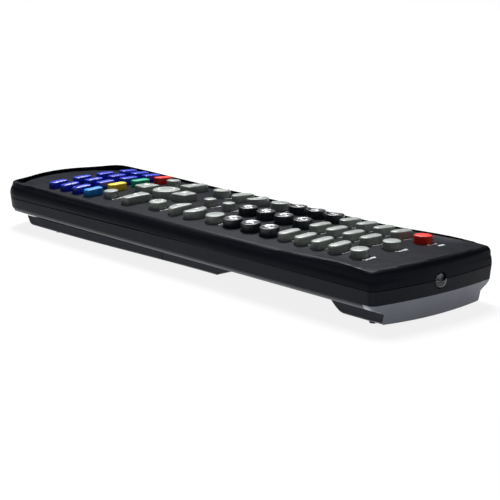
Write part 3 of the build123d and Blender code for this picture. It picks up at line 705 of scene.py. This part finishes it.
def rockerOutline(width, depth, side):
    # half a rocker: a straight edge, low shoulders and an arc over them
    a, b, corner = width / 2, depth / 2, outlineShape["rockerCorner"]
    crown = b - outlineShape["rockerShoulder"] * depth
    radius = (a * a + crown * crown) / (2 * crown)
    sweep = math.asin(a / radius)
    arc = []
    for i in range(outlineShape["rockerArc"] + 1):
        angle = sweep - 2 * sweep * i / outlineShape["rockerArc"]
        arc.append((radius * math.sin(angle), b - radius + radius * math.cos(angle), 0.0))
    points = roundedPolygon([(-a, -b, corner), (a, -b, corner), *arc])
    for _ in range(outlineShape["rockerSmoothing"]):
        pairs = zip(points, points[1:] + points[:1])
        points = [p.lerp(q, share) for p, q in pairs for share in outlineShape["smoothShares"]]
    return [p * side for p in points]


def arrowOutline(inner, outer, run, turnDegrees):
    a, b, h, corner = inner / 2, outer / 2, run / 2, outlineShape["arrowCorner"]
    points = roundedPolygon([(a, -h, corner), (b, h, corner), (-b, h, corner), (-a, -h, corner)])
    spin = Matrix.Rotation(math.radians(turnDegrees), 2)
    return [spin @ p for p in points]


# Keys: a straight skirt, a rounded edge and a domed or dished top on the shared surface

keyBody = {"points": 72, "base": 15.0, "skirt": 0.9, "edgeRings": 5, "dishOver": 0.3,
           "topRings": (0.93, 0.86, 0.78, 0.7, 0.55, 0.38, 0.2)}
roundKey = {"fillet": 0.45, "dome": 0.16}
digitKey = {"fillet": 0.4, "dome": 0.0, "dish": 0.2}
pillKey = {"fillet": 0.55, "dome": 0.22}
barKey = {"fillet": 0.5, "dome": 0.2}
rockerKey = {"fillet": 0.55, "dome": 0.16}


def addKey(bm, outline, x, y, fillet, dome, dish=0.0):
    points = evenly(outline, keyBody["points"])
    count = len(points)
    centre = sum(points, Vector((0, 0))) / count
    normals = []
    for i in range(count):
        along = points[(i + 1) % count] - points[i - 1]
        normals.append(Vector((along.y, -along.x)).normalized())
    rings = []

    def ring(inset, scale, rise, fixed=None):
        made = []
        for p, n in zip(points, normals):
            q = centre + (p - n * inset - centre) * scale
            z = fixed if fixed is not None else keyTop(x + q.x, y + q.y) + rise
            made.append(bm.verts.new(((x + q.x) * mm, (y + q.y) * mm, z * mm)))
        rings.append(made)

    ring(0, 1, 0, keyBody["base"])
    ring(0, 1, -dome - fillet - keyBody["skirt"])
    for i in range(keyBody["edgeRings"] + 1):
        angle = math.pi / 2 * i / keyBody["edgeRings"]
        ring(fillet * (1 - math.cos(angle)), 1, -dome - fillet + fillet * math.sin(angle))
    for scale in keyBody["topRings"]:
        rise = -dome * scale * scale
        if dish:
            share = min(1.0, max(0.0, (1 - scale) / keyBody["dishOver"]))
            rise = -dish * (0.5 - 0.5 * math.cos(math.pi * share))
        ring(fillet, scale, rise)
    hubX, hubY = x + centre.x, y + centre.y
    hub = bm.verts.new((hubX * mm, hubY * mm, (keyTop(hubX, hubY) - dish) * mm))
    joinRings(bm, rings)
    for i in range(count):
        bm.faces.new((rings[-1][i], rings[-1][(i + 1) % count], hub))
    bm.faces.new(list(reversed(rings[0])))


# Printed marks: flat shapes laid on what is under them, hundredths of a millimetre thick

printing = {"depth": 0.03, "sunk": 0.02, "boldness": 0.14, "digitHeight": 5.0, "longest": 1.2,
            "lookFrom": 0.05, "ringSides": 40, "signLength": 2.0, "signWidth": 0.5,
            "triangle": (0.5, 0.38, 0.48)}


def glyphPolygons(text, height):
    curve = bpy.data.curves.new("glyph", "FONT")
    curve.body = text
    curve.size = height * mm
    curve.align_x = "CENTER"
    curve.align_y = "CENTER"
    curve.resolution_u = 3
    curve.offset = printing["boldness"] * mm
    holder = linked("glyph", curve)
    bpy.context.view_layer.update()
    mesh = evaluatedMesh(holder)
    points = [v.co.to_2d() / mm for v in mesh.vertices]
    faces = [list(p.vertices) for p in mesh.polygons]
    bpy.data.objects.remove(holder)
    bpy.data.curves.remove(curve)
    bpy.data.meshes.remove(mesh)
    low = Vector((min(p.x for p in points), min(p.y for p in points)))
    high = Vector((max(p.x for p in points), max(p.y for p in points)))
    middle = (low + high) / 2
    return [p - middle for p in points], faces


def polygonMark(*outlines):
    points, faces = [], []
    for outline in outlines:
        faces.append(list(range(len(points), len(points) + len(outline))))
        points += [Vector(p) for p in outline]
    return points, faces


def ringMark(radius, width):
    count = printing["ringSides"]
    points = [Vector(p) for r in (radius, radius - width) for p in circle(r, count)]
    faces = [[i, (i + 1) % count, count + (i + 1) % count, count + i] for i in range(count)]
    return points, faces


def triangleMark(size, turnDegrees):
    spin = Matrix.Rotation(math.radians(turnDegrees), 2)
    half, foot, tip = [share * size for share in printing["triangle"]]
    return polygonMark([spin @ Vector(p) for p in ((-half, -foot), (half, -foot), (0, tip))])


def barOf(width, height, x=0.0, y=0.0):
    a, b = width / 2, height / 2
    return [(x - a, y - b), (x + a, y - b), (x + a, y + b), (x - a, y + b)]


def addPrint(bm, mark, x, y, surface, material=1):
    points, faces = mark
    sheet = bmesh.new()
    verts = [sheet.verts.new((p[0], p[1], 0)) for p in points]
    for face in faces:
        sheet.faces.new([verts[i] for i in face])
    longEdges = [e for e in sheet.edges if e.calc_length() > printing["longest"]]
    bmesh.ops.subdivide_edges(sheet, edges=longEdges, cuts=1)
    bmesh.ops.triangulate(sheet, faces=sheet.faces)
    layers = []
    for lift in (-printing["sunk"], printing["depth"]):
        made = {}
        for v in sheet.verts:
            px, py = x + v.co.x, y + v.co.y
            above = Vector((px * mm, py * mm, printing["lookFrom"]))
            hit = surface.ray_cast(above, Vector((0, 0, -1)))[0]
            z = hit.z if hit else keyTop(px, py) * mm
            made[v] = bm.verts.new((px * mm, py * mm, z + lift * mm))
        layers.append(made)
    under, over = layers
    for face in sheet.faces:
        bm.faces.new([over[v] for v in face.verts]).material_index = material
        bm.faces.new([under[v] for v in reversed(face.verts)]).material_index = material
    for e in sheet.edges:
        if len(e.link_faces) == 1:
            a, b = e.verts
            bm.faces.new((under[a], under[b], over[b], over[a])).material_index = material
    sheet.free()


signLength, signWidth = printing["signLength"], printing["signWidth"]
armLength, armOut = (signLength - signWidth) / 2, (signLength + signWidth) / 4
minusBar = barOf(signLength, signWidth)
minusMark = polygonMark(minusBar)
plusMark = polygonMark(minusBar, barOf(signWidth, armLength, 0, armOut),
                       barOf(signWidth, armLength, 0, -armOut))

# Round keys: width, colour, printed ring
roundKeys = {
    "power_key": (6.1, "red", None), "source_key": (6.1, "grey", None),
    "aspect_key": (6.1, "grey", None), "mute_key": (4.5, "grey", None),
    "display_key": (4.5, "grey", None), "menu_key": (6.4, "grey", (1.9, 0.35)),
    "guide_key": (6.4, "grey", (1.9, 0.35)), "exit_key": (5.3, "grey", None),
    "return_key": (5.3, "grey", None), "ok_key": (10.2, "grey", (3.2, 0.4)),
    "list_key": (6.7, "grey", None), "recall_key": (6.7, "grey", None),
}
# Rocker halves: 1 or -1 for the way the arc faces, printed mark
rockerKeys = {
    "volume_up_key": (1, plusMark), "volume_down_key": (-1, minusMark),
    "channel_up_key": (1, triangleMark(2.2, 0)), "channel_down_key": (-1, triangleMark(2.2, 180)),
}
# Arrow keys: width near the middle key and away from it, length, turn, printed arrow
arrowKeys = {
    "nav_up_key": (7.8, 6.1, 6.8, 0, 3.0), "nav_down_key": (7.8, 6.1, 6.8, 180, 3.0),
    "nav_left_key": (5.8, 3.6, 10.4, 90, 2.4), "nav_right_key": (5.8, 3.6, 10.4, -90, 2.4),
}
colourKeys = {"red_key": "red", "green_key": "green", "yellow_key": "yellow",
              "blue_key": "lightBlue"}
keySizes = {"rocker": (9.4, 4.8), "bar": (7.4, 3.6, 1.2), "pill": (8.7, 4.0), "pills": 12,
            "digit": (6.7, 6.7)}

keys = {}
for name, (width, colour, ring) in roundKeys.items():
    mark = ringMark(*ring) if ring else None
    keys[name] = (roundOutline(width, width), roundKey, colour, mark)
for name, (side, mark) in rockerKeys.items():
    keys[name] = (rockerOutline(*keySizes["rocker"], side), rockerKey, "grey", mark)
for name, (near, away, run, turn, size) in arrowKeys.items():
    arrow = triangleMark(size, turn)
    keys[name] = (arrowOutline(near, away, run, turn), rockerKey, "grey", arrow)
for name, colour in colourKeys.items():
    keys[name] = (boxOutline(*keySizes["bar"]), barKey, colour, None)
for i in range(keySizes["pills"]):
    keys[f"function_key_{i + 1}"] = (roundOutline(*keySizes["pill"]), pillKey, "grey", None)
for i in range(10):
    digit = glyphPolygons(str(i), printing["digitHeight"])
    keys[f"digit_{i}_key"] = (roundOutline(*keySizes["digit"]), digitKey, "black", digit)

for name, (outline, shape, colour, mark) in keys.items():
    low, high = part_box(name)
    x, y = (low.x + high.x) / 2 / mm, (low.y + high.y) / 2 / mm
    bm = bmesh.new()
    addKey(bm, outline, x, y, **shape)
    bmesh.ops.recalc_face_normals(bm, faces=bm.faces)
    if mark:
        addPrint(bm, mark, x, y, BVHTree.FromBMesh(bm))
    addObject(name + "_cap", bm, name, [rubber[colour], whiteInk], [name])

# Small printed dashes beside the keys, on their infrared side
faceMarks = {"height": 0.62, "gap": 0.2, "above": 0.95, "line": 0.95,
             "bits": (0.8, 0.5, 1.0, 0.6, 0.85, 0.45)}
faceLines = {
    "source_key": (6, 5), "aspect_key": (6, 5), "power_key": (5,), "mute_key": (4,),
    "display_key": (5,), "menu_key": (5,), "guide_key": (5,), "exit_key": (4,),
    "return_key": (5,), "list_key": (4,), "recall_key": (5,),
    **{f"function_key_{i}": (4 + i % 3,) for i in range(1, 13)},
}
topSurface = BVHTree.FromObject(shellPieces["top_housing"],
                                bpy.context.evaluated_depsgraph_get())
bm = bmesh.new()
for order, (name, lines) in enumerate(faceLines.items()):
    low, high = [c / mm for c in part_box(name)]
    for line, bits in enumerate(lines):
        sizes = faceMarks["bits"]
        widths = [sizes[(order + line + k) % len(sizes)] for k in range(bits)]
        x = (low.x + high.x) / 2 - (sum(widths) + faceMarks["gap"] * (bits - 1)) / 2
        y = high.y + faceMarks["above"] + line * faceMarks["line"]
        for width in widths:
            dash = polygonMark(barOf(width, faceMarks["height"]))
            addPrint(bm, dash, x + width / 2, y, topSurface, 0)
            x += width + faceMarks["gap"]
addObject("face_print", bm, "root", [whiteInk], smooth=False)

textKeys = {"rows": 3, "count": 4}
width = keySizes["bar"][0]
for row in range(1, textKeys["rows"] + 1):
    name = f"text_row_{row}_keys"
    low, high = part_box(name)
    y = (low.y + high.y) / 2 / mm
    first = low.x / mm + width / 2
    pitch = ((high.x - low.x) / mm - width) / (textKeys["count"] - 1)
    bm = bmesh.new()
    for i in range(textKeys["count"]):
        addKey(bm, boxOutline(*keySizes["bar"]), first + i * pitch, y, **barKey)
    addObject(name + "_caps", bm, name, [rubber["blue"]], [name])
print("keys ready")


# Infrared lamp: clear dome with its lead frame inside, seen from the end

nearAxis = 0.02  # turned profiles start and end this near to the axis


def revolve(bm, profile, axis, alongY, sides, material=0):
    rings = []
    for radius, along in profile:
        made = []
        for dx, dy in circle(radius, sides):
            a, b = axis[0] + dx, axis[1] + dy
            spot = (a, along, b) if alongY else (a, b, along)
            made.append(bm.verts.new([c * mm for c in spot]))
        rings.append(made)
    joinRings(bm, rings, material)
    bm.faces.new(rings[0]).material_index = material
    bm.faces.new(list(reversed(rings[-1]))).material_index = material


def slabBox(bm, low, high):
    for v in bmesh.ops.create_cube(bm, size=1)["verts"]:
        v.co = Vector([(l + (c + 0.5) * (h - l)) * mm for c, l, h in zip(v.co, low, high)])


irLamp = {"radius": 2.5, "length": 8.6, "sides": 48, "domeRings": 12,
          "flange": 2.9, "flangeDepth": 1.0, "flangeRoll": 0.15, "neck": 0.05}
tipY = ledHigh.y / mm
backY = tipY - irLamp["length"]
neckY = backY + irLamp["flangeDepth"]
radius, flange, roll = irLamp["radius"], irLamp["flange"], irLamp["flangeRoll"]
profile = [(nearAxis, backY), (flange - roll, backY), (flange, backY + roll),
           (flange, neckY - roll), (flange - roll, neckY), (radius, neckY + irLamp["neck"])]
for i in range(irLamp["domeRings"] + 1):
    angle = math.pi / 2 * i / irLamp["domeRings"]
    profile.append((max(nearAxis, radius * math.cos(angle)),
                    tipY - nearAxis - radius * (1 - math.sin(angle))))
bm = bmesh.new()
revolve(bm, profile, (0, lampZ), True, irLamp["sides"])
addObject("ir_led_lens", bm, "root", [clearEpoxyPaintedShade], ["ir_led"])

# Each part of the lead frame: across, along from the cup, half its thickness
leadFrame = {
    "widePost": ((-1.5, -0.25), (-3.6, 1.1), 0.25),
    "cup": ((-1.75, -0.15), (0.0, 1.3), 0.6),
    "narrowPost": ((0.35, 1.5), (-3.6, 0.9), 0.25),
    "chip": ((-1.1, -0.7), (1.2, 1.45), 0.2),
}
leadFrameFit = {"cupBehindTip": 4.6, "legX": 1.27, "legHalf": 0.25, "legInside": 0.5,
                "rounding": 0.06}
cupY = tipY - leadFrameFit["cupBehindTip"]
bm = bmesh.new()
for (left, right), (start, end), half in leadFrame.values():
    slabBox(bm, (left, cupY + start, lampZ - half), (right, cupY + end, lampZ + half))
half = leadFrameFit["legHalf"]
for x in (-leadFrameFit["legX"], leadFrameFit["legX"]):
    slabBox(bm, (x - half, ledLow.y / mm, lampZ - half),
            (x + half, backY + leadFrameFit["legInside"], lampZ + half))
leads = addObject("ir_led_frame", bm, "root", [tinnedCopper], smooth=False)
addBevel(leads, leadFrameFit["rounding"])

# Indicator's light guide, rounded over on top
lightGuide = {"foot": 1.6, "overlap": 0.2, "halfWide": 1.3, "halfDeep": 0.6, "rounding": 0.18,
              "segments": 3}
low, high = [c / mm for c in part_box("indicator_led")]
middle = (low + high) / 2
face = Vector((middle.x, middle.y, keyTop(middle.x, middle.y) - fullness["keyHeight"]))
guideTop = high.z + fuller(face * mm).z / mm - face.z  # raised with the face round it
footTop = low.z + lightGuide["foot"]
wide, deep = lightGuide["halfWide"], lightGuide["halfDeep"]
bm = bmesh.new()
slabBox(bm, low, (high.x, high.y, footTop))
slabBox(bm, (middle.x - wide, middle.y - deep, footTop - lightGuide["overlap"]),
        (middle.x + wide, middle.y + deep, guideTop))
guide = addObject("indicator_window", bm, "root", [milkyAcrylic], ["indicator_led"],
                  smooth=False)
addBevel(guide, lightGuide["rounding"], lightGuide["segments"])
print("lamps ready")


# Cells: sleeved body with rolled ends and a nub. Each profile point is a radius, and a distance
# from the flat end, the shoulder or the nub's end.

cell = {
    "radius": 5.25, "nubLength": 1.0, "springGap": 4.6, "sides": 40,
    "bareEnd": ((nearAxis, 0.0), (4.05, 0.0), (4.65, 0.15), (5.05, 0.5)),
    "sleeveStart": ((5.05, 0.5), (5.25, 0.7)),
    "sleeveEnd": ((5.25, -0.6), (5.05, -0.3), (4.25, 0.0)),
    "cap": ((4.25, 0.0), (2.1, 0.0), (1.9, 0.15)),
    "nub": ((1.9, -0.2), (1.7, 0.0), (nearAxis, 0.0)),
}
low, high = [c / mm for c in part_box("batteries")]
cellZ = (low.z + high.z) / 2
bm = bmesh.new()
for x, way in ((low.x + cell["radius"], 1), (high.x - cell["radius"], -1)):
    nubEnd = high.y if way > 0 else low.y
    flatEnd = low.y + cell["springGap"] if way > 0 else high.y - cell["springGap"]
    shoulder = nubEnd - way * cell["nubLength"]
    ends = {"bareEnd": flatEnd, "sleeveStart": flatEnd, "sleeveEnd": shoulder, "cap": shoulder,
            "nub": nubEnd}
    line = {part: [(r, end + way * along) for r, along in cell[part]] for part, end in ends.items()}
    revolve(bm, line["bareEnd"], (x, cellZ), True, cell["sides"], 1)
    revolve(bm, line["sleeveStart"] + line["sleeveEnd"], (x, cellZ), True, cell["sides"], 0)
    revolve(bm, line["cap"] + line["nub"], (x, cellZ), True, cell["sides"], 1)
addObject("cells", bm, "root", [cellSleeve, springSteel], ["batteries"])
print("cells ready")


# Battery contacts: bent plates with rolled corners, and a conical spring at each flat end

contact = {"width": 8.6, "thick": 0.4, "rounding": 0.15, "spring": 4.6, "wide": 7.4,
           "narrow": 4.6, "turns": 4.5, "wire": 0.6, "wireSmooth": 3, "steps": 110}
low, high = [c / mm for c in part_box("battery_contacts")]
half = contact["width"] / 2
leftX, rightX = low.x + half, high.x - half
bm = bmesh.new()
for x in (leftX, rightX):
    for y in (low.y, high.y - contact["thick"]):
        slabBox(bm, (x - half, y, low.z), (x + half, y + contact["thick"], high.z))
plates = addObject("contact_plates", bm, "root", [springSteel], ["battery_contacts"],
                   smooth=False)
addBevel(plates, contact["rounding"])
springs = bpy.data.curves.new("contact_springs", "CURVE")
springs.dimensions = "3D"
springs.bevel_depth = contact["wire"] / 2 * mm
springs.bevel_resolution = contact["wireSmooth"]
middleZ = (low.z + high.z) / 2
for x, way in ((leftX, 1), (rightX, -1)):
    foot = low.y + contact["thick"] if way > 0 else high.y - contact["thick"]
    spline = springs.splines.new("POLY")
    spline.points.add(contact["steps"])
    for i in range(contact["steps"] + 1):
        t = i / contact["steps"]
        across = contact["wide"] + (contact["narrow"] - contact["wide"]) * t
        r = (across - contact["wire"]) / 2
        angle = 2 * math.pi * contact["turns"] * t
        along = foot + way * (contact["wire"] / 2 + (contact["spring"] - contact["wire"]) * t)
        spot = (x + r * math.cos(angle), along, middleZ + r * math.sin(angle))
        spline.points[i].co = (*[c * mm for c in spot], 1)
addObject("contact_springs", springs, "root", [springSteel], ())

# Housing screw: pan head with a cross recess, threaded shank

screw = {
    "headDepth": 1.8, "sides": 40,
    "head": ((nearAxis, 0.0), (1.21, 0.02), (1.76, 0.2), (2.09, 0.55), (2.2, 1.0), (2.2, 1.7),
             (2.1, 1.8), (nearAxis, 1.8)),
    "recessLength": 2.3, "recessWidth": 0.6, "recessDepth": 0.9, "recessStart": 0.2,
    "shank": 1.1, "thread": 0.9, "threadRoot": 0.78, "sunk": 0.1, "rings": 64, "around": 24,
    "tipLength": 1.2, "tipShare": 0.35,
}
low, high = [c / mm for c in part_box("housing_screw")]
x, y = (low.x + high.x) / 2, (low.y + high.y) / 2
headTop = low.z + screw["headDepth"]
bm = bmesh.new()
revolve(bm, [(r, low.z + up) for r, up in screw["head"]], (x, y), False, screw["sides"])
head = addObject("screw_head", bm, "root", [screwSteel], ["housing_screw"])
a, b = screw["recessLength"] / 2, screw["recessWidth"] / 2
recessLow, recessHigh = low.z - screw["recessStart"], low.z + screw["recessDepth"]
bm = bmesh.new()
slabBox(bm, (x - a, y - b, recessLow), (x + a, y + b, recessHigh))
slabBox(bm, (x - b, y - a, recessLow), (x + b, y + a, recessHigh))
cutter = linked("cutter", meshFrom("cutter", bm, False))
recess = head.modifiers.new("recess", "BOOLEAN")
recess.object = cutter
recess.operation = "DIFFERENCE"
recess.use_self = True
cutMesh = evaluatedMesh(head)
head.modifiers.clear()
head.data = cutMesh
bpy.data.objects.remove(cutter)

bm = bmesh.new()
rings = []
start = headTop - screw["sunk"]
for k in range(screw["rings"] + 1):
    z = start + (high.z - start) * k / screw["rings"]
    tip = min(1.0, (high.z - z) / screw["tipLength"] + screw["tipShare"])
    made = []
    for i in range(screw["around"]):
        phase = ((z - headTop) / screw["thread"] - i / screw["around"]) % 1.0
        ridge = 1 - abs(2 * phase - 1)
        share = screw["threadRoot"] + (1 - screw["threadRoot"]) * ridge
        r = screw["shank"] * tip * share
        angle = 2 * math.pi * i / screw["around"]
        spot = (x + r * math.cos(angle), y + r * math.sin(angle), z)
        made.append(bm.verts.new([c * mm for c in spot]))
    rings.append(made)
joinRings(bm, rings)
bm.faces.new(rings[-1])
bm.faces.new(list(reversed(rings[0])))
addObject("screw_thread", bm, "root", [screwSteel], ())
print("contacts and screw ready")
